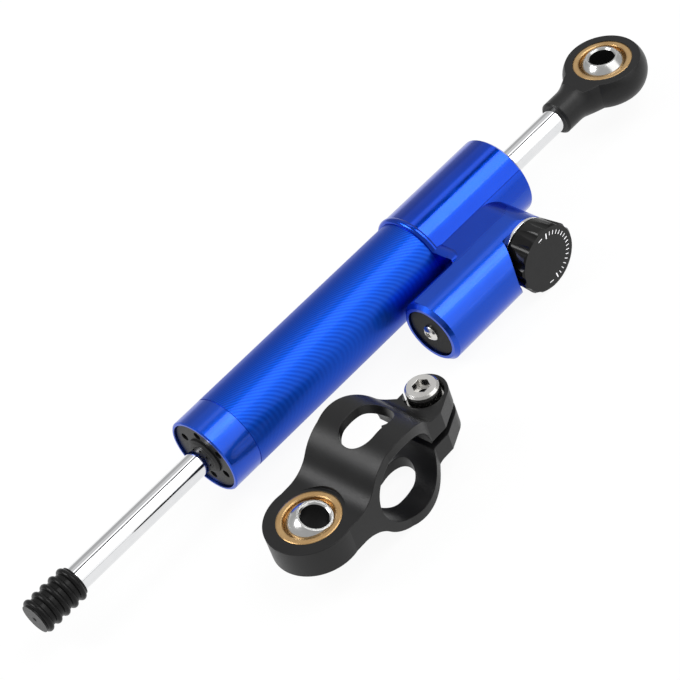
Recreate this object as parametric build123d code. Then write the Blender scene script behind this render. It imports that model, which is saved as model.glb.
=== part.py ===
from build123d import *
import math
import os

# Motorcycle steering damper with its loose clamp bracket, in millimetres.
# The origin is the centre of the rod end's ball, on the damper's axis.
# +X runs along the damper towards the rod end, +Z is up, the knob faces -Y.

# Main sizes of the damper
rod_radius = 5.0
tube_radius = 16.0
tube_wall = 3.0
housing_wall = 1.2            # housing's sleeve beyond the tube
tube_bore_radius = tube_radius - tube_wall
housing_radius = tube_radius + housing_wall
rod_end_reach = 31.4          # ball centre to the start of the rod end's shank
rod_out_upper = 35.2          # bare rod between the rod end and the housing
sleeve_length = 51.4          # housing from its far end to the lip round the tube
tube_out_length = 114.8       # tube and collar beyond the lip
rod_out_lower = 65.9          # bare rod between the collar and the rubber stop
stop_length = 20.0            # rubber stop

# Clearances and shared small sizes
running_gap = 0.05            # radial play of a piece that turns or slides in another
fitted_gap = 0.02             # radial play of a piece that is screwed or pressed home
overrun = 1.0                 # how far a cutter runs past the face that it opens
small_chamfer = 0.4

# Lip, collar and tube joint
lip_bead_length = 2.6
lip_bead_height = 0.35
housing_end_chamfer = 0.9
tube_seat_depth = 17.0
collar_length = 13.4
collar_wall = 1.2
collar_rim_chamfer = 0.5
spigot_step = 0.4             # tube's spigot inside the collar's bore
collar_bore_radius = tube_radius - collar_wall
spigot_radius = collar_bore_radius - spigot_step
joint_groove_depth = 0.25
joint_groove_width = 0.5

# Rod glands, one at each end
gland_recess = 0.9
gland_flange_length = 8.0
gland_flange_radius = collar_bore_radius - running_gap
gland_nose_length = 13.0
gland_hole_count = 6
gland_hole_radius_share = 0.23   # of the flange's width outside the wiper
gland_hole_place_share = 0.364   # likewise, of the hole circle
gland_hole_depth = 4.5
bush_radius = 6.6
wiper_radius = 7.6
wiper_depth = 4.0
wiper_stand = 1.3
seal_radius = 8.4
seal_depth = 5.0
ring_section = 1.4            # thickness of the larger sealing rings

# Adjuster block with its side chamber and knob boss
block_height = 26.5
lobe_stand = 13.36            # side chamber's centre line beyond the sleeve's radius
lobe_overhang = 24.6          # how far the chamber runs past the lip
lobe_gap = 8.2                # sleeve's radius to the chamber's flat inner side
lobe_end_chamfer = 1.5
lobe_corner_radius = 2.0
web_bead_width = 4.8          # raised bead along the web's front edge
web_bead_height = 0.45
web_bead_curl = 3.2           # from the sleeve's radius to the middle of the bead's curl
skirt_step = 0.4              # sleeve's thicker sector beside the knob boss
skirt_end_gap = 0.9
chamber_wall = 3.75
chamber_end_wall = 2.5
plug_step = 1.0
plug_recess = 0.8
plug_length = 6.5
knob_inset = 24.7             # knob axis from the housing's far end
boss_stand = 3.54             # boss end beyond the chamber's centre line
knob_pocket_gap = 1.5

# Knob and adjuster
knob_radius = 13.9
knob_taper = 0.8
knob_length = 10.0
knob_gap = 0.4
knob_edge = 0.7
flute_count = 14
flute_depth = 0.75
flute_cutter_radius = 3.6
detent_ring_step = 0.5        # ring inside the knob's back edge
detent_ring_thickness = 1.2
detent_count = 18
detent_ball_radius = 1.0
detent_sleeve_wall = 0.4
detent_sleeve_length = 4.0
spindle_radius = 3.0
spindle_length = 17.0
spindle_bush_radius = 7.0
spindle_bush_length = 10.0
needle_radius = 2.2
needle_length = 15.4
needle_tail_radius = 1.5
needle_travel = 0.6            # each way from the middle setting
needle_seat_radius = 3.5
needle_seat_length = 6.0
jet_radius = 1.1
passage_radius = 1.2
grub_screw_radius = 1.5

# Bleed screw in the chamber plug
bleed_head_radius = 3.3
bleed_head_height = 1.9
bleed_shank_radius = 2.4
bleed_hex = 2.6

# Piston group
piston_gap = 0.1
piston_length = 14.0
piston_place_share = 0.633    # of the way from the upper gland to the lower one
band_width = 6.0
band_thickness = 1.5
circlip_thickness = 1.0
circlip_depth = 0.5
circlip_reach = 1.6
floating_piston_length = 8.0

# Rubber stop
stop_radius = 7.1
stop_rib_count = 5
stop_rib_share = 0.62
stop_groove_depth = 1.1
stop_socket_depth = 16.5
stop_dimple_radius = 1.2
stop_dimple_depth = 0.5

# Rod end
shank_radius = 7.15
head_radius = 17.0             # at the middle of the bulged rim
head_face_radius = 15.15
head_half_thickness = 5.9
spot_face_radius = 19.4
neck_start = 23.0              # from the ball centre, where the neck begins to widen
neck_middle = 16.5
neck_middle_radius = 8.9
neck_root = 9.0
neck_root_radius = 11.8
thread_radius = 4.0
thread_depth = 14.0
shank_chamfer = 0.8

# Spherical bearings, alike in the rod end and the bracket
race_radius = 11.95
race_half_width = 5.7
race_mouth_radius = 9.6
race_step = 3.8
ball_radius = 9.9
ball_flat_radius = 6.4
bearing_bore_radius = 5.0
bearing_bore_chamfer = 0.65
rod_ball_tilt = 3.0
rod_ball_tilt_heading = 35.0

# Clamp bracket
bracket_bore_radius = 16.0
bracket_wall = 3.8
bracket_eye_radius = 16.7
bracket_eye_half = 5.65
bracket_ring_place = 34.3
bracket_bolt_place = 63.0
bracket_half_width = 17.0
bracket_waist_half = 16.4
bracket_ear_half = 12.0
bracket_ear_back = 6.6         # ear on the side away from the front, open to the bolt's pocket
bracket_ear_height = 9.5
bracket_ear_drop = 1.5         # ears and slot below the ring's middle
bracket_ear_end = 9.0
bracket_slot = 3.4
bracket_window_length = 22.0
bracket_window_half = 7.3
bracket_window_shift = 1.3     # window's middle beyond the ring's middle
bracket_eye_blend = 13.6       # hollow from the eye up to the ring
bracket_ear_blend = 6.0
bracket_pocket_gap = 1.4
bolt_radius = 4.0
bolt_head_radius = 6.3
bolt_head_height = 6.5
bolt_seat_height = 4.0
bolt_hex = 6.0
bolt_hex_depth = 4.0
washer_radius = 6.9
washer_thickness = 1.0
bolt_pocket_radius = 7.6
bracket_place_x = -237.6
bracket_place_y = -62.2
bracket_yaw = 1.4
bracket_ball_tilt = 21.0
bracket_ball_heading = -63.4

# Stations along the axis that follow from the lengths above
shank_start = -rod_end_reach
housing_end = shank_start - rod_out_upper
lip = housing_end - sleeve_length
tube_end = lip - tube_out_length
stop_rim = tube_end - rod_out_lower
stop_end = stop_rim - stop_length
collar_start = tube_end + collar_length
tube_seat = lip + tube_seat_depth
floor_level = -housing_radius
block_half = block_height / 2
block_top = floor_level + block_height
block_middle = floor_level + block_half
lobe_offset = housing_radius + lobe_stand
lobe_inner_wall = housing_radius + lobe_gap
boss_face = lobe_offset + boss_stand
lobe_end = lip - lobe_overhang
knob_x = housing_end - knob_inset
knob_z = floor_level + knob_radius
knob_back_radius = knob_radius - knob_taper
knob_pocket_radius = knob_radius + knob_pocket_gap
detent_ring_radius = knob_back_radius - detent_ring_step
detent_circle = (detent_ring_radius + spindle_bush_radius) / 2
chamber_radius = block_half - chamber_wall
plug_radius = chamber_radius + plug_step
chamber_end = knob_x - knob_pocket_radius - chamber_end_wall
plug_end = lobe_end + plug_recess + plug_length
floating_piston_middle = (plug_end + chamber_end) / 2
lower_gland_face = tube_end + gland_recess
upper_gland_face = housing_end - gland_recess
gland_shoulder = gland_recess + gland_flange_length
gland_depth = gland_shoulder + gland_nose_length
spigot_end = tube_end + gland_shoulder
piston_radius = tube_bore_radius - piston_gap
piston_run = housing_end - tube_end - 2 * gland_depth
piston_middle = housing_end - gland_depth - piston_run * piston_place_share


def turned(points):
    """Solid turned about the X axis from (station, radius) points."""
    return revolve(make_face(Polyline(*points, close=True)), Axis.X)


def tube_piece(start, end, inner, outer):
    """Plain hollow cylinder along the damper's axis."""
    return turned([(start, inner), (end, inner), (end, outer), (start, outer)])


def sealing_ring(station, inner, outer):
    """Round-section ring about the damper's axis that fills its groove."""
    section = (outer - inner) / 2
    middle = (outer + inner) / 2
    return revolve(Pos(station, middle) * Circle(section), Axis.X)


def rod_along_x(start, end, radius, y=0.0, z=0.0):
    """Round cutter or bar along X."""
    disc = Plane.YZ.offset(start) * Pos(y, z) * Circle(radius)
    return extrude(disc, end - start)


def rod_along_y(x, z, near, far, radius):
    """Round cutter or bar along -Y, from near to far, both measured towards -Y."""
    disc = Plane.XZ.offset(near) * Pos(x, z) * Circle(radius)
    return extrude(disc, far - near)


def to_lower_end(piece):
    """Piece made facing +X at station zero, turned to face -X at the collar."""
    return Pos(lower_gland_face, 0, 0) * mirror(piece, Plane.YZ)


def to_upper_end(piece):
    """Piece made facing +X at station zero, set at the housing's far end."""
    return Pos(upper_gland_face, 0, 0) * piece


# Tube and collar

def damper_tube():
    outline = [
        (spigot_end, tube_bore_radius),
        (tube_seat, tube_bore_radius),
        (tube_seat, tube_radius),
        (collar_start, tube_radius),
        (collar_start, spigot_radius),
        (spigot_end, spigot_radius),
    ]
    body = turned(outline)
    groove_middle = tube_seat - ring_section * 2
    groove = tube_piece(groove_middle - ring_section, groove_middle + ring_section,
                        tube_radius - ring_section, tube_radius + overrun)
    return body - groove


def tube_o_ring():
    groove_middle = tube_seat - ring_section * 2
    return sealing_ring(groove_middle, tube_radius - ring_section, tube_radius)


def end_collar():
    groove_radius = tube_radius - joint_groove_depth
    outline = [
        (tube_end, collar_bore_radius),
        (spigot_end, collar_bore_radius),
        (spigot_end, spigot_radius + fitted_gap),
        (collar_start, spigot_radius + fitted_gap),
        (collar_start, groove_radius),
        (collar_start - joint_groove_width, groove_radius),
        (collar_start - joint_groove_width, tube_radius),
        (tube_end + collar_rim_chamfer, tube_radius),
        (tube_end, tube_radius - collar_rim_chamfer),
    ]
    return turned(outline)


# Glands, bushes and seals round the rod, made facing +X at station zero

def gland():
    nose_end = -gland_flange_length - gland_nose_length
    nose_radius = tube_bore_radius - fitted_gap
    bush_end = nose_end + seal_depth
    outline = [
        (0, wiper_radius),
        (0, gland_flange_radius - small_chamfer),
        (-small_chamfer, gland_flange_radius),
        (-gland_flange_length, gland_flange_radius),
        (-gland_flange_length, nose_radius),
        (nose_end, nose_radius),
        (nose_end, seal_radius),
        (bush_end, seal_radius),
        (bush_end, bush_radius),
        (-wiper_depth, bush_radius),
        (-wiper_depth, wiper_radius),
    ]
    body = turned(outline)
    groove_middle = gland_groove_middle()
    body -= tube_piece(groove_middle - ring_section, groove_middle + ring_section,
                       nose_radius - ring_section, nose_radius + overrun)
    width = gland_flange_radius - wiper_radius
    hole_radius = width * gland_hole_radius_share
    hole_circle = wiper_radius + width * gland_hole_place_share
    for index in range(gland_hole_count):
        turn = 360 * (index + 0.5) / gland_hole_count
        hole = rod_along_x(-gland_hole_depth, overrun, hole_radius, hole_circle)
        body -= Rot(turn, 0, 0) * hole
    return body


def gland_groove_middle():
    return -gland_flange_length - gland_nose_length / 3


def gland_o_ring():
    outer = tube_bore_radius - fitted_gap
    return sealing_ring(gland_groove_middle(), outer - ring_section, outer)


def guide_bush():
    start = -gland_flange_length - gland_nose_length + seal_depth
    return tube_piece(start, -wiper_depth, rod_radius + running_gap, bush_radius)


def rod_seal():
    start = -gland_flange_length - gland_nose_length
    inner = rod_radius + running_gap
    lip_depth = seal_depth / 2
    lip_wall = (seal_radius - inner) / 3
    outline = [
        (start, inner),
        (start + seal_depth, inner),
        (start + seal_depth, seal_radius),
        (start, seal_radius),
        (start, seal_radius - lip_wall),
        (start + lip_depth, seal_radius - lip_wall),
        (start + lip_depth, inner + lip_wall),
        (start, inner + lip_wall),
    ]
    return turned(outline)


def wiper():
    inner = rod_radius + running_gap
    nose_radius = (inner + wiper_radius) / 2
    outline = [
        (-wiper_depth, inner),
        (-wiper_depth, wiper_radius),
        (0, wiper_radius),
        (wiper_stand / 2, wiper_radius),
        (wiper_stand, nose_radius),
        (wiper_stand, inner),
    ]
    return turned(outline)


# Adjuster housing

def housing_sleeve():
    bead_top = housing_radius + lip_bead_height
    bead_end = lip + lip_bead_length
    bore = tube_radius + fitted_gap
    nose = bore + small_chamfer
    outer = Polyline((lip, bore), (lip, nose))
    bead = ThreePointArc((lip, nose), (lip + lip_bead_length / 2, bead_top), (bead_end, housing_radius))
    back = Polyline((bead_end, housing_radius),
                    (housing_end - housing_end_chamfer, housing_radius),
                    (housing_end, housing_radius - housing_end_chamfer),
                    (housing_end, bore), (lip, bore))
    return revolve(make_face([outer, bead, back]), Axis.X)


def adjuster_block():
    """Web with flat top and underside, and the round side chamber beside the tube."""
    inner_corner = lobe_inner_wall - lobe_corner_radius
    outer_side = lobe_offset + block_half
    far_side = knob_x + block_half
    flat_end = lobe_end + lobe_end_chamfer
    corner_middle = lobe_corner_radius * (1 - math.sqrt(0.5))
    straight = Polyline((lip, 0), (lip, -inner_corner))
    corner = ThreePointArc((lip, -inner_corner),
                           (lip - corner_middle, -lobe_inner_wall + corner_middle),
                           (lip - lobe_corner_radius, -lobe_inner_wall))
    rest = Polyline((lip - lobe_corner_radius, -lobe_inner_wall),
                    (flat_end, -lobe_inner_wall), (flat_end, -outer_side),
                    (far_side, -outer_side), (far_side, 0), (lip, 0))
    plan = make_face([straight, corner, rest])
    plan_solid = extrude(Plane.XY.offset(floor_level) * plan, 2 * block_half)
    flat_part = Pos(-lobe_offset / 2, block_middle) * Rectangle(lobe_offset, 2 * block_half)
    round_part = Pos(-lobe_offset, block_middle) * Circle(block_half)
    section = flat_part + round_part
    section_solid = extrude(Plane.YZ.offset(flat_end) * section, far_side - flat_end)
    side_flat = Pos((flat_end + knob_x) / 2, block_middle) * Rectangle(knob_x - flat_end, 2 * block_half)
    side = side_flat + Pos(knob_x, block_middle) * Circle(block_half)
    side_solid = extrude(Plane.XZ * side, outer_side)
    chamber_face = turned([(lobe_end, 0), (lobe_end, block_half - lobe_end_chamfer),
                           (flat_end, block_half), (knob_x, block_half), (knob_x, 0)])
    block = plan_solid & section_solid & side_solid
    return block + Pos(0, -lobe_offset, block_middle) * chamber_face


def web_bead():
    """Raised bead along the web's front edge, curled round its inner corner."""
    half = web_bead_width / 2
    curl = housing_radius + web_bead_curl
    crown = ThreePointArc((0, block_top), (half, block_top + web_bead_height), (web_bead_width, block_top))
    root = Polyline((web_bead_width, block_top), (web_bead_width, block_top - web_bead_width),
                    (0, block_top - web_bead_width), (0, block_top))
    section = Plane.XZ * make_face([crown, root])
    straight = Pos(lip, 0, 0) * extrude(section, curl)
    bend = Pos(lip, -curl, 0) * revolve(section, Axis.Z, -90)
    return straight + bend


def sleeve_skirt():
    """Slightly thicker sector of the sleeve below the level of the flat top."""
    skirt_radius = housing_radius + skirt_step
    skirt_end = housing_end - skirt_end_gap
    ring = tube_piece(knob_x, skirt_end, tube_radius + fitted_gap, skirt_radius)
    length = skirt_end - knob_x
    room = Pos((knob_x + skirt_end) / 2, -skirt_radius / 2, block_middle) * Box(
        length, skirt_radius, block_height)
    return ring & room


def adjuster_housing():
    body = housing_sleeve() + adjuster_block() + web_bead() + sleeve_skirt()
    reach = lobe_offset + block_half + overrun
    pocket = rod_along_y(knob_x, knob_z, boss_face, reach, knob_pocket_radius)
    body -= pocket
    tube_pocket = tube_radius + fitted_gap
    body -= rod_along_x(lobe_end - overrun, tube_seat, tube_pocket)
    body -= rod_along_x(tube_seat - overrun, housing_end, tube_bore_radius)
    body -= rod_along_x(housing_end - gland_shoulder, housing_end + overrun, collar_bore_radius)
    body -= rod_along_x(lobe_end - overrun, plug_end, plug_radius, -lobe_offset, block_middle)
    body -= rod_along_x(lobe_end, chamber_end, chamber_radius, -lobe_offset, block_middle)
    bush_end = boss_face - spindle_bush_length
    seat_start = bush_end - needle_seat_length
    body -= rod_along_y(knob_x, knob_z, bush_end, boss_face + overrun, spindle_bush_radius)
    body -= rod_along_y(knob_x, knob_z, seat_start, bush_end + overrun, needle_seat_radius)
    body -= rod_along_y(knob_x, knob_z, tube_bore_radius / 2, seat_start + overrun, jet_radius)
    passage_y = lobe_offset - chamber_radius + 2 * passage_radius
    body -= rod_along_x(chamber_end - overrun, knob_x, passage_radius,
                        -passage_y, knob_z)
    return body


def lobe_plug():
    start = lobe_end + plug_recess
    radius = plug_radius - fitted_gap
    body = rod_along_x(start, start + plug_length, radius, -lobe_offset, block_middle)
    body = chamfer(body.faces().sort_by(Axis.X)[0].outer_wire().edges(), small_chamfer)
    body -= rod_along_x(start - overrun, plug_end + overrun, bleed_shank_radius + fitted_gap,
                        -lobe_offset, block_middle)
    middle = start + plug_length / 2
    groove = tube_piece(middle - ring_section / 2, middle + ring_section / 2,
                        radius - ring_section, radius + overrun)
    return body - Pos(0, -lobe_offset, block_middle) * groove


def lobe_plug_o_ring():
    middle = lobe_end + plug_recess + plug_length / 2
    radius = plug_radius - fitted_gap
    ring = sealing_ring(middle, radius - ring_section, radius)
    return Pos(0, -lobe_offset, block_middle) * ring


def bleed_screw():
    seat = lobe_end + plug_recess
    top = seat - bleed_head_height
    shank_end = seat + plug_length
    dome = ThreePointArc((seat - bleed_head_height / 3, bleed_head_radius),
                         (seat - bleed_head_height * 4 / 5, bleed_head_radius * 2 / 3),
                         (top, bleed_head_radius / 3))
    rest = Polyline((top, bleed_head_radius / 3), (top, 0), (shank_end, 0),
                    (shank_end, bleed_shank_radius), (seat, bleed_shank_radius),
                    (seat, bleed_head_radius), (seat - bleed_head_height / 3, bleed_head_radius))
    body = revolve(make_face([dome, rest]), Axis.X)
    socket = Plane.YZ.offset(top - overrun) * RegularPolygon(bleed_hex / 2, 6, major_radius=False)
    body -= extrude(socket, bleed_head_height + overrun)
    return Pos(0, -lobe_offset, block_middle) * body


# Knob, detent and metering needle, all on the knob's axis

def detent_ring():
    face = boss_face + detent_ring_thickness
    body = rod_along_y(knob_x, knob_z, boss_face, face, detent_ring_radius)
    body -= rod_along_y(knob_x, knob_z, boss_face - overrun, face + overrun, spindle_bush_radius)
    dimple_radius = detent_ball_radius * 3 / 4
    dimple_floor = face - detent_ball_radius / 3
    for index in range(detent_count):
        turn = math.radians(360 * index / detent_count)
        place_x = knob_x + detent_circle * math.sin(turn)
        place_z = knob_z + detent_circle * math.cos(turn)
        body -= rod_along_y(place_x, place_z, dimple_floor, face + overrun, dimple_radius)
    return body


def knob_back():
    return boss_face + detent_ring_thickness + knob_gap


def damping_knob():
    back = knob_back()
    front = back + knob_length
    outline = [
        (0, back),
        (knob_back_radius - knob_edge, back),
        (knob_back_radius, back + knob_edge),
        (knob_radius, front - knob_edge),
        (knob_radius - knob_edge, front),
        (0, front),
    ]
    profile = make_face(Polyline(*outline, close=True))
    body = revolve(profile, Axis.Y)
    flute_place = knob_radius + flute_cutter_radius - flute_depth
    for index in range(flute_count):
        turn = 360 * index / flute_count
        cutter = Pos(flute_place, 0, 0) * Rot(90, 0, 0) * Cylinder(flute_cutter_radius, 4 * front)
        body -= Rot(0, turn, 0) * cutter
    body = Pos(knob_x, 0, knob_z) * mirror(body, Plane.XZ)
    body -= rod_along_y(knob_x, knob_z, back - overrun, spindle_end(), spindle_radius)
    sleeve_radius = detent_ball_radius + running_gap + detent_sleeve_wall
    body -= rod_along_y(knob_x, knob_z + detent_circle, back - overrun,
                        back + detent_sleeve_length, sleeve_radius)
    return body - grub_screw_bar(overrun)


def spindle_end():
    return knob_back() + knob_length * 3 / 4


def knob_spindle():
    start = spindle_end() - spindle_length
    body = rod_along_y(knob_x, knob_z, start, spindle_end(), spindle_radius - running_gap)
    tail_bore = needle_tail_radius + running_gap
    body -= rod_along_y(knob_x, knob_z, start - overrun, spindle_end() - spindle_length / 3, tail_bore)
    return body


def grub_screw_bar(extra):
    """Bar from the spindle out through the knob's rim, on its lower side."""
    height = knob_back() + knob_length / 2
    start = Pos(knob_x, -height, knob_z) * Rot(0, 135, 0)
    length = knob_radius - spindle_radius + extra
    bar = Pos(0, 0, spindle_radius + length / 2) * Cylinder(grub_screw_radius, length)
    return start * bar


def knob_grub_screw():
    length = (knob_radius - spindle_radius) * 2 / 3
    height = knob_back() + knob_length / 2
    start = Pos(knob_x, -height, knob_z) * Rot(0, 135, 0)
    bar = Pos(0, 0, spindle_radius + length / 2) * Cylinder(grub_screw_radius - fitted_gap, length)
    socket = extrude(Pos(0, 0, spindle_radius + length / 2) * RegularPolygon(grub_screw_radius / 2, 6), length)
    return start * (bar - socket)


def detent_sleeve():
    back = knob_back()
    bore = detent_ball_radius + running_gap
    end = back + detent_sleeve_length
    body = rod_along_y(knob_x, knob_z + detent_circle, back, end, bore + detent_sleeve_wall - fitted_gap)
    return body - rod_along_y(knob_x, knob_z + detent_circle, back - overrun, end - detent_sleeve_wall, bore)


def detent_ball():
    stand = knob_gap * 3 / 4
    height = knob_back() - stand + detent_ball_radius
    return Pos(knob_x, -height, knob_z + detent_circle) * Sphere(detent_ball_radius)


def spindle_bush():
    start = boss_face - spindle_bush_length
    end = boss_face + detent_ring_thickness
    body = rod_along_y(knob_x, knob_z, start, end, spindle_bush_radius - fitted_gap)
    body -= rod_along_y(knob_x, knob_z, start - overrun, end + overrun, spindle_radius)
    middle = boss_face - spindle_bush_length / 3
    groove = rod_along_y(knob_x, knob_z, middle - ring_section / 2, middle + ring_section / 2,
                         spindle_radius + ring_section)
    return body - groove


def spindle_o_ring():
    middle = boss_face - spindle_bush_length / 3
    inner = spindle_radius
    section = ring_section / 2
    ring = Torus(inner + section, section)
    return Pos(knob_x, -middle, knob_z) * Rot(90, 0, 0) * ring


def needle_seat():
    end = boss_face - spindle_bush_length
    start = end - needle_seat_length
    body = rod_along_y(knob_x, knob_z, start, end, needle_seat_radius - fitted_gap)
    body -= rod_along_y(knob_x, knob_z, start - overrun, end + overrun, jet_radius)
    bore_start = start + needle_seat_length / 3
    return body - rod_along_y(knob_x, knob_z, bore_start, end + overrun, needle_radius + running_gap)


def metering_needle():
    tip = boss_face - spindle_bush_length - needle_seat_length * 7 / 12
    tail = tip + needle_length
    shoulder = spindle_end() - spindle_length - needle_travel * 2
    cone_end = tip + needle_radius
    outline = [
        (0, tip),
        (jet_radius / 2, tip),
        (needle_radius, cone_end),
        (needle_radius, shoulder),
        (needle_tail_radius, shoulder),
        (needle_tail_radius, tail),
        (0, tail),
    ]
    body = revolve(make_face(Polyline(*outline, close=True)), Axis.Y)
    return Pos(knob_x, 0, knob_z) * mirror(body, Plane.XZ)


# Floating piston in the side chamber

def floating_piston():
    start = floating_piston_middle - floating_piston_length / 2
    end = start + floating_piston_length
    radius = chamber_radius - running_gap
    wall = radius / 4
    outline = [
        (start, radius - wall),
        (start, radius),
        (end, radius),
        (end, 0),
        (start + floating_piston_length / 2, 0),
        (start + floating_piston_length / 2, radius - wall),
    ]
    body = turned(outline)
    middle = start + floating_piston_length * 3 / 4
    body -= tube_piece(middle - ring_section / 2, middle + ring_section / 2,
                       radius - ring_section, radius + overrun)
    return Pos(0, -lobe_offset, block_middle) * body


def floating_piston_o_ring():
    start = floating_piston_middle - floating_piston_length / 2
    middle = start + floating_piston_length * 3 / 4
    radius = chamber_radius - running_gap
    ring = sealing_ring(middle, radius - ring_section, radius)
    return Pos(0, -lobe_offset, block_middle) * ring


# Rod with its piston

def piston_rod():
    outline = [
        (stop_rim - stop_socket_depth, 0),
        (stop_rim - stop_socket_depth, rod_radius - small_chamfer),
        (stop_rim - stop_socket_depth + small_chamfer, rod_radius),
        (shank_start, rod_radius),
        (shank_start, thread_radius),
        (shank_start + thread_depth, thread_radius),
        (shank_start + thread_depth, 0),
    ]
    body = turned(outline)
    for station in circlip_stations():
        body -= tube_piece(station, station + circlip_thickness,
                           rod_radius - circlip_depth, rod_radius + overrun)
    return body


def circlip_stations():
    """Lower edge of the circlip on each side of the piston."""
    half = piston_length / 2
    return [piston_middle - half - circlip_thickness, piston_middle + half]


def piston():
    half = piston_length / 2
    start = piston_middle - half
    end = piston_middle + half
    band_half = band_width / 2 + running_gap
    groove_radius = piston_radius - band_thickness
    outline = [
        (start, rod_radius),
        (end, rod_radius),
        (end, piston_radius - small_chamfer),
        (end - small_chamfer, piston_radius),
        (piston_middle + band_half, piston_radius),
        (piston_middle + band_half, groove_radius),
        (piston_middle - band_half, groove_radius),
        (piston_middle - band_half, piston_radius),
        (start + small_chamfer, piston_radius),
        (start, piston_radius - small_chamfer),
    ]
    return turned(outline)


def piston_band():
    outer = tube_bore_radius - running_gap
    inner = outer - band_thickness
    return tube_piece(piston_middle - band_width / 2, piston_middle + band_width / 2, inner, outer)


def piston_circlips():
    clips = []
    for station in circlip_stations():
        clip = tube_piece(station, station + circlip_thickness, rod_radius - circlip_depth,
                          rod_radius + circlip_reach)
        opening = Pos(station, rod_radius, 0) * Box(4 * circlip_thickness, 2 * rod_radius, circlip_reach)
        clips.append(clip - opening)
    return clips[0] + clips[1]


def rubber_stop():
    pitch = stop_length / stop_rib_count
    rib = pitch * stop_rib_share
    groove_radius = stop_radius - stop_groove_depth
    edges = []
    station = stop_rim
    edges.append(Polyline((stop_rim, rod_radius), (stop_rim, groove_radius)))
    for index in range(stop_rib_count):
        top = station - (pitch - rib) / 2
        bottom = top - rib
        edges.append(Polyline((station, groove_radius), (top, groove_radius)))
        edges.append(ThreePointArc((top, groove_radius), ((top + bottom) / 2, stop_radius),
                                   (bottom, groove_radius)))
        edges.append(Polyline((bottom, groove_radius), (station - pitch, groove_radius)))
        station = station - pitch
    dimple_end = stop_end + stop_dimple_depth
    edges.append(Polyline((stop_end, groove_radius), (stop_end, stop_dimple_radius),
                          (dimple_end, 0), (stop_rim - stop_socket_depth, 0),
                          (stop_rim - stop_socket_depth, rod_radius), (stop_rim, rod_radius)))
    return revolve(make_face(edges), Axis.X)


# Rod end and spherical bearings

def rod_end():
    rim = ThreePointArc((head_face_radius, -head_half_thickness), (head_radius, 0),
                        (head_face_radius, head_half_thickness))
    faces = Polyline((head_face_radius, head_half_thickness), (0, head_half_thickness),
                     (0, -head_half_thickness), (head_face_radius, -head_half_thickness))
    head = revolve(Plane.XZ * make_face([rim, faces]), Axis.Z)
    flare = Spline((-neck_start, shank_radius), (-neck_middle, neck_middle_radius),
                   (-neck_root, neck_root_radius), tangents=[(1, 0), (2, 1)])
    start = Polyline((-neck_root, neck_root_radius), (0, neck_root_radius), (0, 0), (shank_start, 0),
                     (shank_start, shank_radius - shank_chamfer),
                     (shank_start + shank_chamfer, shank_radius), (-neck_start, shank_radius))
    neck = revolve(make_face([flare, start]), Axis.X)
    slab = Box(4 * rod_end_reach, 4 * head_radius, 2 * shank_radius)
    neck = neck & slab
    spot = Cylinder(spot_face_radius, shank_radius)
    rise = head_half_thickness + shank_radius / 2
    neck -= Pos(0, 0, rise) * spot
    neck -= Pos(0, 0, -rise) * spot
    body = head + neck
    body -= Cylinder(race_radius, 4 * head_half_thickness)
    body -= rod_along_x(shank_start - overrun, shank_start + thread_depth, thread_radius)
    return body


def bearing_race():
    """Brass race about Z with a spherical seat and a stepped mouth."""
    inner_sphere = ball_radius + running_gap
    seat_edge = math.sqrt(inner_sphere ** 2 - race_step ** 2)
    upper = Polyline((seat_edge, race_step), (race_mouth_radius, race_step), (race_mouth_radius, race_half_width),
                     (race_radius, race_half_width), (race_radius, -race_half_width),
                     (race_mouth_radius, -race_half_width), (race_mouth_radius, -race_step), (seat_edge, -race_step))
    seat = ThreePointArc((seat_edge, -race_step), (inner_sphere, 0), (seat_edge, race_step))
    return revolve(Plane.XZ * make_face([upper, seat]), Axis.Z)


def bearing_ball():
    """Ball about Z with two flats and a chamfered bore."""
    half = math.sqrt(ball_radius ** 2 - ball_flat_radius ** 2)
    inner = bearing_bore_radius
    mouth = bearing_bore_radius + bearing_bore_chamfer
    lines = Polyline((ball_flat_radius, half), (mouth, half), (inner, half - bearing_bore_chamfer),
                     (inner, bearing_bore_chamfer - half), (mouth, -half), (ball_flat_radius, -half))
    bulge = ThreePointArc((ball_flat_radius, -half), (ball_radius, 0), (ball_flat_radius, half))
    return revolve(Plane.XZ * make_face([lines, bulge]), Axis.Z)


def tilted(piece, tilt, heading):
    """Piece about Z leaned by tilt degrees towards the heading, seen from above."""
    return Rot(0, 0, heading) * Rot(0, tilt, 0) * Rot(0, 0, -heading) * piece


# Clamp bracket, made with its eye at the origin and its long direction along +X

def bracket_side():
    """Side view: eye slab, ring and split ears."""
    ring_radius = bracket_bore_radius + bracket_wall
    ear_length = bracket_bolt_place - bracket_ring_place + bracket_ear_end
    eye_part = Pos((bracket_ring_place - bracket_eye_radius) / 2, 0) * Rectangle(
        bracket_ring_place + bracket_eye_radius, 2 * bracket_eye_half)
    ring_part = Pos(bracket_ring_place, 0) * Circle(ring_radius)
    ear_part = Pos(bracket_ring_place + ear_length / 2, -bracket_ear_drop) * Rectangle(
        ear_length, 2 * bracket_ear_height)
    side = eye_part + ring_part + ear_part
    eye_corners = side.vertices().filter_by(
        lambda point: 0 < point.X < bracket_ring_place and abs(point.Y) < ring_radius)
    side = fillet(eye_corners, bracket_eye_blend)
    ear_corners = side.vertices().filter_by(
        lambda point: bracket_ring_place < point.X < bracket_ring_place + ring_radius
        and abs(abs(point.Y + bracket_ear_drop) - bracket_ear_height) < small_chamfer)
    return fillet(ear_corners, bracket_ear_blend)


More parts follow.
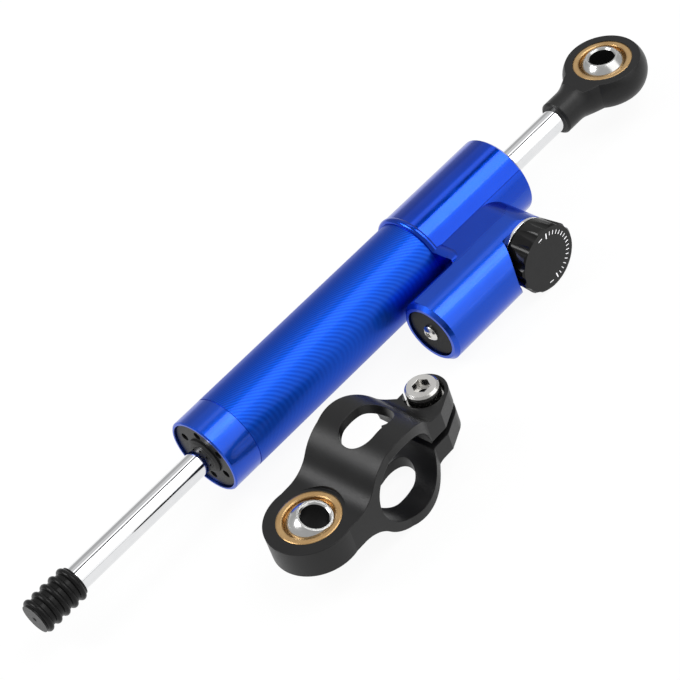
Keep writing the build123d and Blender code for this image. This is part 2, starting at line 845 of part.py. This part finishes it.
def bracket_plan():
    """Plan view: round eye, waist, wide ring and ears."""
    eye = Circle(bracket_eye_radius)
    ring_radius = bracket_bore_radius + bracket_wall
    body = Pos(bracket_ring_place, 0) * Ellipse(ring_radius + bracket_wall, bracket_half_width)
    waist = Pos(bracket_ring_place / 2, 0) * Rectangle(bracket_ring_place, 2 * bracket_waist_half)
    ear_length = bracket_bolt_place - bracket_ring_place - bracket_ear_end / 2
    ears = Pos(bracket_ring_place + ear_length / 2, 0) * Rectangle(ear_length, 2 * bracket_ear_half)
    tip = Pos(bracket_bolt_place, 0) * Circle(bracket_ear_end)
    ears = make_hull((ears + tip).edges())
    back_length = 2 * bracket_ear_end
    back_middle = bracket_ear_back + bracket_ear_half
    back = Pos(bracket_bolt_place, back_middle) * Rectangle(
        2 * back_length, 2 * bracket_ear_half)
    return eye + body + waist + (ears - back)


def bracket_solid():
    side = extrude(Plane.XZ * bracket_side(), bracket_half_width, both=True)
    height = bracket_bore_radius + bracket_wall
    plan = extrude(bracket_plan(), height, both=True)
    body = side & plan
    tall = 4 * height
    body -= Pos(bracket_ring_place, 0, 0) * Rot(90, 0, 0) * Cylinder(bracket_bore_radius, tall)
    body -= Cylinder(race_radius, tall)
    pocket_height = height - bracket_eye_half
    pocket = Cylinder(race_radius + bracket_pocket_gap, pocket_height)
    rise = bracket_eye_half + pocket_height / 2
    body -= Pos(0, 0, rise) * pocket
    body -= Pos(0, 0, -rise) * pocket
    slot_length = bracket_bolt_place + 2 * bracket_ear_end - bracket_ring_place
    slot_middle = Pos(bracket_ring_place + slot_length / 2, 0, -bracket_ear_drop)
    body -= slot_middle * Box(slot_length, tall, bracket_slot)
    body -= Pos(bracket_ring_place + bracket_window_shift, 0, 0) * extrude(
        SlotOverall(bracket_window_length, 2 * bracket_window_half), height, both=True)
    body -= Pos(bracket_bolt_place, 0, 0) * Cylinder(bolt_radius + fitted_gap, tall)
    head_pocket = Cylinder(bolt_pocket_radius, height)
    body -= Pos(bracket_bolt_place, 0, bolt_seat_height + height / 2) * head_pocket
    return body


def clamp_bolt():
    seat = bolt_seat_height + washer_thickness
    top = seat + bolt_head_height
    low = -bracket_ear_height - bracket_ear_drop
    shank = Pos(bracket_bolt_place, 0, (seat + low) / 2) * Cylinder(bolt_radius, seat - low)
    head = Pos(bracket_bolt_place, 0, seat + bolt_head_height / 2) * Cylinder(bolt_head_radius, bolt_head_height)
    head = chamfer(head.faces().sort_by(Axis.Z)[-1].outer_wire().edges(), 2 * small_chamfer)
    socket = extrude(Plane.XY.offset(top) * Pos(bracket_bolt_place, 0)
                     * RegularPolygon(bolt_hex / 2, 6, major_radius=False), -bolt_hex_depth)
    return shank + head - socket


def clamp_washer():
    middle = bolt_seat_height + washer_thickness / 2
    disc = Cylinder(washer_radius, washer_thickness) - Cylinder(bolt_radius + fitted_gap, washer_thickness)
    return Pos(bracket_bolt_place, 0, middle) * disc


def bracket_location():
    """The loose bracket stands on its ring beside the damper."""
    height = floor_level + bracket_bore_radius + bracket_wall
    return Pos(bracket_place_x, bracket_place_y, height) * Rot(0, 0, bracket_yaw)


def all_pieces():
    place = bracket_location()
    pieces = {
        "damper_tube": damper_tube(),
        "tube_o_ring": tube_o_ring(),
        "end_collar": end_collar(),
        "lower_gland": to_lower_end(gland()),
        "lower_gland_o_ring": to_lower_end(gland_o_ring()),
        "lower_guide_bush": to_lower_end(guide_bush()),
        "lower_rod_seal": to_lower_end(rod_seal()),
        "lower_wiper": to_lower_end(wiper()),
        "upper_gland": to_upper_end(gland()),
        "upper_gland_o_ring": to_upper_end(gland_o_ring()),
        "upper_guide_bush": to_upper_end(guide_bush()),
        "upper_rod_seal": to_upper_end(rod_seal()),
        "upper_wiper": to_upper_end(wiper()),
        "adjuster_housing": adjuster_housing(),
        "chamber_plug": lobe_plug(),
        "chamber_plug_o_ring": lobe_plug_o_ring(),
        "bleed_screw": bleed_screw(),
        "detent_ring": detent_ring(),
        "spindle_bush": spindle_bush(),
        "spindle_o_ring": spindle_o_ring(),
        "needle_seat": needle_seat(),
        "piston_band": piston_band(),
        "piston_rod": piston_rod(),
        "piston": piston(),
        "piston_circlips": piston_circlips(),
        "rubber_stop": rubber_stop(),
        "rod_end": rod_end(),
        "rod_end_race": bearing_race(),
        "rod_end_ball": tilted(bearing_ball(), rod_ball_tilt, rod_ball_tilt_heading),
        "damping_knob": damping_knob(),
        "knob_spindle": knob_spindle(),
        "knob_grub_screw": knob_grub_screw(),
        "detent_sleeve": detent_sleeve(),
        "detent_ball": detent_ball(),
        "metering_needle": metering_needle(),
        "floating_piston": floating_piston(),
        "floating_piston_o_ring": floating_piston_o_ring(),
        "clamp_bracket": place * bracket_solid(),
        "clamp_race": place * bearing_race(),
        "clamp_bolt": place * clamp_bolt(),
        "clamp_washer": place * clamp_washer(),
        "clamp_ball": place * tilted(bearing_ball(), bracket_ball_tilt, bracket_ball_heading),
    }
    return pieces


os.makedirs("parts", exist_ok=True)
for name, piece in all_pieces().items():
    export_step(piece, os.path.join("parts", name + ".step"))
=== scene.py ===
import math

import bmesh
import bpy
from mathutils import Matrix, Vector


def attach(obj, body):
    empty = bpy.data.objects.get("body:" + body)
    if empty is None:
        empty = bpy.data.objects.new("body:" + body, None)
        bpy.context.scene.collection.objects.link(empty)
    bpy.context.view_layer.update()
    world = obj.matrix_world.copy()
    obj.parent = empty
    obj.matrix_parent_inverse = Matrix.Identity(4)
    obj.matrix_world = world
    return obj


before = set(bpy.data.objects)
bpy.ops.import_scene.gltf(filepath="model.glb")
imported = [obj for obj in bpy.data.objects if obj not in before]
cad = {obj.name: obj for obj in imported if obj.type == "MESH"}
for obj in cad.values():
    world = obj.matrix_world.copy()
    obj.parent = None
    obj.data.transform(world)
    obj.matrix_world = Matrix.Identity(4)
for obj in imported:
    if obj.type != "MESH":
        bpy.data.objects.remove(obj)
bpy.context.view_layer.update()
scene = bpy.context.scene

# Places taken over from the solids, in metres
KNOB_X = -0.0913
KNOB_Z = -0.0033
KNOB_FACE = 0.0457
FLOOR = -0.0172
CHAMBER_MIDDLE = (0.0, -0.03056, -0.00395)
ROD_BALL_MIDDLE = (0.0, 0.0, 0.0)
ROD_BALL_AXIS = (0.042871, 0.030019, 0.99863)
CLAMP_BALL_MIDDLE = (-0.2376, -0.0622, 0.0026)
CLAMP_BALL_AXIS = (0.168244, -0.31642, 0.93358)
BOLT_PLACE = (-0.17462, -0.06066, 0.0)
ALONG_X = (1.0, 0.0, 0.0)
UPRIGHT = (0.0, 0.0, 1.0)

# Distances from an axis at which painted shade in a bore or recess starts, and at which the satin zone
# ends
BALL_BORE_RADIUS = 0.00503
BOLT_RECESS_RADIUS = 0.00215
BORE_EDGE_WIDTH = 0.00007
# The satin zone has a rougher finish and a paler blue that is painted sheen
SATIN_SHEEN_FULL = 0.0138
SATIN_SHEEN_END = 0.0145

# Turned finish on the tube
STRIPE_DIRECTION = (1.0, 2.209, -0.804)
STRIPE_PERIOD = 0.0022
STRIPE_WAVER = 1.1
STRIPE_FADE_LOW = 0.003
STRIPE_FADE_HIGH = 0.012

# Pairs of base colours that a soft cloud or the stripes blend
DEEP_BLUE = (0.0015, 0.047, 0.49), (0.0025, 0.054, 0.53)
# The paler pair is painted sheen: a lit copy of the deep blue for brighter highlights
SHEEN_BLUE = (0.0080, 0.068, 0.53), (0.0110, 0.076, 0.57)
TURNED_BLUE = (0.0030, 0.046, 0.40), (0.0080, 0.086, 0.60)

# Dial marks on the knob's face
DIAL_RADIUS = 0.0114
TICK_START = 0.0098
LONG_TICK_START = 0.0090
CROSS_BAR_RADIUS = 0.0106
MARK_DEPTH = 0.00003

# Studio
STAGE_CENTRE = (-0.16, -0.02, 0.0)
FLOOR_REACH = 12.0
FLOOR_GLOW_SHARE = 0.93
LAMP_DISTANCE = 1.1
LAMP_WIDTH = 0.9


# Material helpers

def node_material(name):
    material = bpy.data.materials.new(name)
    material.use_nodes = True
    tree = material.node_tree
    shader = tree.nodes["Principled BSDF"]
    return material, tree, shader


def add(tree, kind, **values):
    made = tree.nodes.new(kind)
    for key, value in values.items():
        setattr(made, key, value)
    return made


def put(tree, source, target):
    tree.links.new(source, target)


def position(tree):
    return add(tree, "ShaderNodeTexCoord").outputs["Object"]


def noise(tree, scale, detail=2.0, stretch=(1.0, 1.0, 1.0), distortion=0.0):
    place = add(tree, "ShaderNodeMapping")
    place.inputs["Scale"].default_value = stretch
    put(tree, position(tree), place.inputs["Vector"])
    texture = add(tree, "ShaderNodeTexNoise")
    texture.inputs["Scale"].default_value = scale
    texture.inputs["Detail"].default_value = detail
    texture.inputs["Distortion"].default_value = distortion
    put(tree, place.outputs["Vector"], texture.inputs["Vector"])
    return texture.outputs["Fac"]


def reach(tree, centre, axis):
    """Distance from a line through a centre along an axis of unit length."""
    offset = add(tree, "ShaderNodeVectorMath", operation="SUBTRACT")
    offset.inputs[1].default_value = centre
    put(tree, position(tree), offset.inputs[0])
    across = add(tree, "ShaderNodeVectorMath", operation="CROSS_PRODUCT")
    across.inputs[1].default_value = axis
    put(tree, offset.outputs["Vector"], across.inputs[0])
    length = add(tree, "ShaderNodeVectorMath", operation="LENGTH")
    put(tree, across.outputs["Vector"], length.inputs[0])
    return length.outputs["Value"]


def spread(tree, source, low, high, start=0.3, end=0.7):
    span = add(tree, "ShaderNodeMapRange")
    span.inputs["From Min"].default_value = start
    span.inputs["From Max"].default_value = end
    span.inputs["To Min"].default_value = low
    span.inputs["To Max"].default_value = high
    put(tree, source, span.inputs["Value"])
    return span.outputs["Result"]


def blend_colours(tree, factor, first, second):
    mix = add(tree, "ShaderNodeMix", data_type="RGBA")
    mix.inputs[6].default_value = (*first, 1.0)
    mix.inputs[7].default_value = (*second, 1.0)
    put(tree, factor, mix.inputs[0])
    return mix.outputs[2]


def bump(tree, shader, height, strength, distance):
    made = add(tree, "ShaderNodeBump")
    made.inputs["Strength"].default_value = strength
    made.inputs["Distance"].default_value = distance
    put(tree, height, made.inputs["Height"])
    put(tree, made.outputs["Normal"], shader.inputs["Normal"])
    return made


def anodised(name, coat):
    material, tree, shader = node_material(name)
    shader.inputs["Metallic"].default_value = 1.0
    shader.inputs["Coat Weight"].default_value = coat
    shader.inputs["Coat Roughness"].default_value = 0.05
    return material, tree, shader


def anodised_blue(name, colours=DEEP_BLUE, gloss=(0.17, 0.25), satin_and_sheen_line=None):
    """Blue anodised metal, duller close to a line where one is given, and paler there as painted sheen
    that stands in for a brighter highlight.
    """
    material, tree, shader = anodised(name, 0.34)
    cloud = spread(tree, noise(tree, 60.0, 3.0), 0.0, 1.0)
    colour = blend_colours(tree, cloud, *colours)
    grain = noise(tree, 900.0, 2.0, (0.15, 1.0, 1.0))
    finish = spread(tree, grain, *gloss)
    if satin_and_sheen_line:
        near = spread(tree, reach(tree, *satin_and_sheen_line), 1.0, 0.0, SATIN_SHEEN_FULL, SATIN_SHEEN_END)
        dulled = add(tree, "ShaderNodeMath", operation="MULTIPLY_ADD")
        put(tree, near, dulled.inputs[0])
        dulled.inputs[1].default_value = 0.12
        put(tree, finish, dulled.inputs[2])
        finish = dulled.outputs["Value"]
        # Paler colour near the line: painted sheen
        mix = add(tree, "ShaderNodeMix", data_type="RGBA")
        put(tree, near, mix.inputs[0])
        put(tree, colour, mix.inputs[6])
        put(tree, blend_colours(tree, cloud, *SHEEN_BLUE), mix.inputs[7])
        colour = mix.outputs[2]
    put(tree, colour, shader.inputs["Base Color"])
    put(tree, finish, shader.inputs["Roughness"])
    bump(tree, shader, grain, 0.03, 0.00002)
    return material


def turned_blue(name):
    """Blue anodised metal with slanting, wavering stripes that fade out towards its lower side."""
    material, tree, shader = anodised(name, 0.08)
    along = add(tree, "ShaderNodeVectorMath", operation="DOT_PRODUCT")
    along.inputs[1].default_value = STRIPE_DIRECTION
    put(tree, position(tree), along.inputs[0])
    waver = add(tree, "ShaderNodeMath", operation="MULTIPLY_ADD")
    waver.inputs[1].default_value = 2.0 * math.pi / STRIPE_PERIOD
    put(tree, along.outputs["Value"], waver.inputs[0])
    put(tree, spread(tree, noise(tree, 120.0), -STRIPE_WAVER, STRIPE_WAVER), waver.inputs[2])
    wave = add(tree, "ShaderNodeMath", operation="SINE")
    put(tree, waver.outputs["Value"], wave.inputs[0])
    place = add(tree, "ShaderNodeSeparateXYZ")
    put(tree, position(tree), place.inputs["Vector"])
    fade = spread(tree, place.outputs["Z"], 0.15, 1.0, STRIPE_FADE_LOW, STRIPE_FADE_HIGH)
    faded = add(tree, "ShaderNodeMath", operation="MULTIPLY")
    put(tree, wave.outputs["Value"], faded.inputs[0])
    put(tree, fade, faded.inputs[1])
    ripple = faded.outputs["Value"]
    put(tree, spread(tree, ripple, 0.41, 0.47, -1.0, 1.0), shader.inputs["Roughness"])
    shade = blend_colours(tree, spread(tree, ripple, 0.0, 1.0, -1.0, 1.0), *TURNED_BLUE)
    put(tree, shade, shader.inputs["Base Color"])
    bump(tree, shader, ripple, 0.22, 0.00003)
    return material


def eased_edges(tree, made, radius):
    """Rounds the shading across sharp edges, under the bump."""
    eased = add(tree, "ShaderNodeBevel", samples=6)
    eased.inputs["Radius"].default_value = radius
    put(tree, eased.outputs["Normal"], made.inputs["Normal"])


def black_metal(name, base=0.005, roughness=(0.26, 0.34), specular=0.16):
    material, tree, shader = node_material(name)
    cloud = noise(tree, 80.0, 3.0)
    colour = blend_colours(tree, spread(tree, cloud, 0.0, 1.0), (base, base, base * 1.05),
                           (base * 1.5, base * 1.5, base * 1.55))
    put(tree, colour, shader.inputs["Base Color"])
    shader.inputs["Specular IOR Level"].default_value = specular
    grain = noise(tree, 1500.0, 3.0)
    put(tree, spread(tree, grain, *roughness), shader.inputs["Roughness"])
    eased_edges(tree, bump(tree, shader, grain, 0.08, 0.00002), 0.0004)
    return material


def bare_metal(name, light, dark, roughness, scratch=(1.0, 1.0, 1.0), strength=0.04, eased=0.0002):
    material, tree, shader = node_material(name)
    shader.inputs["Metallic"].default_value = 1.0
    cloud = noise(tree, 150.0, 3.0, scratch)
    put(tree, blend_colours(tree, spread(tree, cloud, 0.0, 1.0), dark, light), shader.inputs["Base Color"])
    grain = noise(tree, 2500.0, 2.0, scratch)
    put(tree, spread(tree, grain, *roughness), shader.inputs["Roughness"])
    eased_edges(tree, bump(tree, shader, grain, strength, 0.00002), eased)
    return material


def paint_bore_shade(material, centre, axis, radius):
    """Paints shade into a bore: a near-black, dull finish within a radius of a line stands in for the
    shade inside the hole.
    """
    tree = material.node_tree
    shader = tree.nodes["Principled BSDF"]
    bore = add(tree, "ShaderNodeBsdfPrincipled")
    bore.inputs["Base Color"].default_value = (0.004, 0.004, 0.004, 1.0)
    bore.inputs["Roughness"].default_value = 0.6
    bore.inputs["Specular IOR Level"].default_value = 0.1
    mix = add(tree, "ShaderNodeMixShader")
    outside = spread(tree, reach(tree, centre, axis), 0.0, 1.0, radius, radius + BORE_EDGE_WIDTH)
    put(tree, outside, mix.inputs["Fac"])
    put(tree, bore.outputs["BSDF"], mix.inputs[1])
    put(tree, shader.outputs["BSDF"], mix.inputs[2])
    put(tree, mix.outputs["Shader"], tree.nodes["Material Output"].inputs["Surface"])
    return material


def rubber(name, base=0.012, roughness=(0.42, 0.55), specular=0.5):
    material, tree, shader = node_material(name)
    cloud = noise(tree, 200.0, 4.0)
    put(tree, blend_colours(tree, spread(tree, cloud, 0.0, 1.0), (base, base, base),
                            (base * 1.7, base * 1.7, base * 1.75)), shader.inputs["Base Color"])
    grain = noise(tree, 1800.0, 4.0)
    shader.inputs["Specular IOR Level"].default_value = specular
    put(tree, spread(tree, grain, *roughness), shader.inputs["Roughness"])
    bump(tree, shader, grain, 0.15, 0.00004)
    return material


def dress(material, *names):
    for name in names:
        slots = cad[name].material_slots
        if not slots:
            cad[name].data.materials.append(material)
        for slot in cad[name].material_slots:
            slot.material = material


def smooth_cad():
    """Shades the solids smoothly, except across their real edges."""
    for piece in cad.values():
        if any(edge.use_edge_sharp for edge in piece.data.edges):
            continue
        piece.data.shade_smooth()
        piece.data.set_sharp_from_angle(angle=math.radians(28))


def marks(name, material, shapes, depth):
    """Thin printed shapes on the knob's face, each a closed outline in the face's plane."""
    mesh = bpy.data.meshes.new(name)
    work = bmesh.new()
    for outline in shapes:
        near = [work.verts.new((KNOB_X + x, -KNOB_FACE, KNOB_Z + z)) for x, z in outline]
        far = [work.verts.new((KNOB_X + x, -KNOB_FACE - depth, KNOB_Z + z)) for x, z in outline]
        work.faces.new(far)
        for index in range(len(outline)):
            nxt = (index + 1) % len(outline)
            work.faces.new((near[index], near[nxt], far[nxt], far[index]))
    bmesh.ops.recalc_face_normals(work, faces=work.faces)
    work.to_mesh(mesh)
    work.free()
    mesh.materials.append(material)
    made = bpy.data.objects.new(name, mesh)
    scene.collection.objects.link(made)
    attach(made, "knob")


def bar(angle, inner, outer, half_width):
    """Outline of a bar that points outwards at an angle on the knob's face."""
    across = (math.cos(math.radians(angle)), math.sin(math.radians(angle)))
    side = (-across[1] * half_width, across[0] * half_width)
    return [(across[0] * inner + side[0], across[1] * inner + side[1]),
            (across[0] * outer + side[0], across[1] * outer + side[1]),
            (across[0] * outer - side[0], across[1] * outer - side[1]),
            (across[0] * inner - side[0], across[1] * inner - side[1])]


def cross_bar(angle, radius, half_length, half_width):
    """Outline of a short bar across the outward direction."""
    out = (math.cos(math.radians(angle)), math.sin(math.radians(angle)))
    along = (-out[1], out[0])
    middle = (out[0] * radius, out[1] * radius)
    return [(middle[0] + sign * along[0] * half_length + part * out[0] * half_width,
             middle[1] + sign * along[1] * half_length + part * out[1] * half_width)
            for sign, part in ((-1, -1), (1, -1), (1, 1), (-1, 1))]


blue = anodised_blue("blue_anodised", satin_and_sheen_line=(CHAMBER_MIDDLE, ALONG_X))
# The collar's paler blue is painted sheen on a rougher finish
blue_satin_sheen = anodised_blue("blue_satin_sheen", SHEEN_BLUE, (0.28, 0.36))
blue_turned = turned_blue("blue_turned_tube")
black = black_metal("black_anodised", roughness=(0.34, 0.42), specular=0.30)
gland_black = black_metal("gland_dark", 0.009, (0.30, 0.40), 0.16)
plug_black = black_metal("plug_black", 0.003, (0.30, 0.40), 0.08)
chrome = bare_metal("hard_chrome", (0.80, 0.80, 0.81), (0.75, 0.76, 0.77), (0.05, 0.09),
                    (1.0, 0.05, 0.05), 0.004)
ball_steel = bare_metal("ball_steel", (0.80, 0.80, 0.79), (0.74, 0.74, 0.73), (0.08, 0.14))
# The balls' bores and the bolt head's recess get painted shade, near black within a radius
rod_ball_steel = paint_bore_shade(bare_metal("rod_ball_steel", (0.66, 0.66, 0.65), (0.58, 0.58, 0.57), (0.17, 0.25)),
                       ROD_BALL_MIDDLE, ROD_BALL_AXIS, BALL_BORE_RADIUS)
clamp_ball_steel = paint_bore_shade(bare_metal("clamp_ball_steel", (0.66, 0.66, 0.65), (0.58, 0.58, 0.57),
                                    (0.17, 0.25)),
                         CLAMP_BALL_MIDDLE, CLAMP_BALL_AXIS, BALL_BORE_RADIUS)
head_steel = paint_bore_shade(bare_metal("bolt_head_steel", (0.74, 0.73, 0.71), (0.62, 0.61, 0.59), (0.16, 0.26)),
                   BOLT_PLACE, UPRIGHT, BOLT_RECESS_RADIUS)
bolt_steel = bare_metal("bolt_steel", (0.74, 0.73, 0.71), (0.62, 0.61, 0.59), (0.16, 0.26))
plain_steel = bare_metal("plain_steel", (0.58, 0.58, 0.58), (0.48, 0.48, 0.48), (0.25, 0.38))
brass = bare_metal("brass", (0.66, 0.44, 0.21), (0.52, 0.32, 0.14), (0.18, 0.28), eased=0.0011)
silver = bare_metal("silver_ring", (0.97, 0.97, 0.98), (0.92, 0.92, 0.93), (0.14, 0.22), eased=0.0004)
stop_rubber = rubber("rubber_stop", 0.004, (0.26, 0.36), 0.16)
seal_rubber = rubber("seal_rubber", 0.010, (0.45, 0.6), 0.3)
knob_black = rubber("knob_gloss_black", 0.003, (0.12, 0.20), 0.24)
guide_plastic = rubber("guide_plastic", 0.30, (0.45, 0.55))
white_paint = rubber("dial_white", 0.80, (0.5, 0.6), 0.2)

dress(blue, "adjuster_housing")
dress(blue_satin_sheen, "end_collar")
dress(blue_turned, "damper_tube")
dress(black, "rod_end", "clamp_bracket")
dress(plug_black, "chamber_plug")
dress(gland_black, "lower_gland", "upper_gland")
dress(chrome, "piston_rod")
dress(ball_steel, "detent_ball")
dress(rod_ball_steel, "rod_end_ball")
dress(clamp_ball_steel, "clamp_ball")
dress(bolt_steel, "bleed_screw", "clamp_washer")
dress(head_steel, "clamp_bolt")
dress(plain_steel, "spindle_bush", "piston", "piston_circlips", "knob_spindle", "knob_grub_screw",
      "detent_sleeve", "metering_needle", "floating_piston")
dress(brass, "rod_end_race", "clamp_race", "needle_seat")
dress(silver, "detent_ring")
dress(stop_rubber, "rubber_stop")
dress(seal_rubber, "tube_o_ring", "lower_gland_o_ring", "lower_rod_seal", "lower_wiper",
      "upper_gland_o_ring", "upper_rod_seal", "upper_wiper", "chamber_plug_o_ring", "spindle_o_ring",
      "floating_piston_o_ring")
dress(guide_plastic, "lower_guide_bush", "upper_guide_bush", "piston_band")
dress(knob_black, "damping_knob")
smooth_cad()

ticks = [bar(angle, TICK_START, DIAL_RADIUS, 0.00016) for angle in range(-70, 75, 10)]
ticks += [bar(angle, LONG_TICK_START, DIAL_RADIUS, 0.00026) for angle in (-80, 80)]
ticks += [cross_bar(angle, CROSS_BAR_RADIUS, 0.0010, 0.00020) for angle in (98, -98)]
marks("dial_marks", white_paint, ticks, MARK_DEPTH)


# Floor, lamps and camera

def floor():
    """White paper that the camera and reflections see nearly evenly bright."""
    mesh = bpy.data.meshes.new("studio_floor")
    size = FLOOR_REACH
    corners = [(-size, -size, FLOOR), (size, -size, FLOOR), (size, size, FLOOR), (-size, size, FLOOR)]
    mesh.from_pydata(corners, [], [(0, 1, 2, 3)])
    made = bpy.data.objects.new("studio_floor", mesh)
    scene.collection.objects.link(made)
    material, tree, shader = node_material("studio_floor")
    put(tree, blend_colours(tree, noise(tree, 3.0), (0.93, 0.93, 0.93), (0.95, 0.95, 0.95)),
        shader.inputs["Base Color"])
    shader.inputs["Roughness"].default_value = 0.9
    shader.inputs["Specular IOR Level"].default_value = 0.0
    paper = add(tree, "ShaderNodeEmission")
    paper.inputs["Color"].default_value = (1.0, 1.0, 1.0, 1.0)
    paper.inputs["Strength"].default_value = 1.0
    rays = add(tree, "ShaderNodeLightPath")
    seen = add(tree, "ShaderNodeMath", operation="MAXIMUM")
    put(tree, rays.outputs["Is Camera Ray"], seen.inputs[0])
    put(tree, rays.outputs["Is Glossy Ray"], seen.inputs[1])
    shown = add(tree, "ShaderNodeMath", operation="MAXIMUM")
    put(tree, seen.outputs["Value"], shown.inputs[0])
    put(tree, rays.outputs["Is Transmission Ray"], shown.inputs[1])
    share = add(tree, "ShaderNodeMath", operation="MULTIPLY")
    share.inputs[1].default_value = FLOOR_GLOW_SHARE
    put(tree, shown.outputs["Value"], share.inputs[0])
    mix = add(tree, "ShaderNodeMixShader")
    put(tree, share.outputs["Value"], mix.inputs["Fac"])
    put(tree, shader.outputs["BSDF"], mix.inputs[1])
    put(tree, paper.outputs["Emission"], mix.inputs[2])
    put(tree, mix.outputs["Shader"], tree.nodes["Material Output"].inputs["Surface"])
    mesh.materials.append(material)


def aim(made, direction, distance):
    """Stands a flat thing off in a direction, facing the object, its width along X."""
    away = Vector(direction).normalized()
    along = (Vector(ALONG_X) - away * away.x).normalized()
    made.matrix_world = Matrix.Translation(Vector(STAGE_CENTRE) + away * distance) @ Matrix(
        (along, away.cross(along), away)).transposed().to_4x4()


def softbox(name, direction, distance, width, height, radiance):
    """Area lamp that faces the object from a direction, with a stated brightness."""
    lamp = bpy.data.lights.new(name, "AREA")
    lamp.shape = "RECTANGLE"
    lamp.size = width
    lamp.size_y = height
    lamp.energy = radiance * math.pi * width * height
    made = bpy.data.objects.new(name, lamp)
    scene.collection.objects.link(made)
    aim(made, direction, distance)


def dark_card(name, direction, distance, width, height):
    """Dark strip between the lamps that only reflections show."""
    mesh = bpy.data.meshes.new(name)
    corners = [(-width / 2, -height / 2, 0), (width / 2, -height / 2, 0),
               (width / 2, height / 2, 0), (-width / 2, height / 2, 0)]
    mesh.from_pydata(corners, [], [(0, 1, 2, 3)])
    made = bpy.data.objects.new(name, mesh)
    scene.collection.objects.link(made)
    aim(made, direction, distance)
    material, tree, shader = node_material(name)
    put(tree, blend_colours(tree, noise(tree, 5.0), (0.006, 0.006, 0.006), (0.010, 0.010, 0.010)),
        shader.inputs["Base Color"])
    shader.inputs["Roughness"].default_value = 1.0
    shader.inputs["Specular IOR Level"].default_value = 0.0
    mesh.materials.append(material)
    made.visible_camera = False
    made.visible_diffuse = False
    made.visible_shadow = False
    made.visible_transmission = False


floor()
softbox("key", (0.395, -0.241, 0.887), LAMP_DISTANCE, LAMP_WIDTH, 0.55, 3.7)
softbox("low", (0.395, -0.716, 0.576), LAMP_DISTANCE, LAMP_WIDTH, 0.78, 1.15)
softbox("front", (0.395, -0.902, 0.172), LAMP_DISTANCE, LAMP_WIDTH, 0.31, 0.7)
softbox("back", (0.395, 0.498, 0.772), LAMP_DISTANCE, LAMP_WIDTH, 0.72, 0.22)
softbox("strip", (0.395, 0.297, 0.869), 0.95, LAMP_WIDTH, 0.17, 0.9)
softbox("left", (-0.55, 0.45, 0.70), LAMP_DISTANCE, 0.45, 0.45, 8.0)
dark_card("dark_card", (0.395, 0.071, 0.916), 0.9, LAMP_WIDTH, 0.13)

world = bpy.data.worlds.new("studio")
scene.world = world
world.use_nodes = True
world.node_tree.nodes["Background"].inputs["Color"].default_value = (1.0, 1.0, 1.0, 1.0)
world.node_tree.nodes["Background"].inputs["Strength"].default_value = 0.5

camera_data = bpy.data.cameras.new("camera")
camera_data.lens = 134.464
camera_data.sensor_width = 36.0
camera_data.clip_start = 0.05
camera_data.clip_end = 50.0
camera = bpy.data.objects.new("camera", camera_data)
scene.collection.objects.link(camera)
right = Vector((0.6614, -0.7023, -0.2632)).normalized()
back = Vector((-0.3949, -0.6245, 0.6739)).normalized()
up = back.cross(right).normalized()
right = up.cross(back)
turned_to = Matrix((right, up, back)).transposed().to_4x4()
camera.matrix_world = Matrix.Translation(Vector((-0.5346, -0.5910, 0.6323))) @ turned_to
scene.camera = camera
scene.view_settings.view_transform = "Standard"
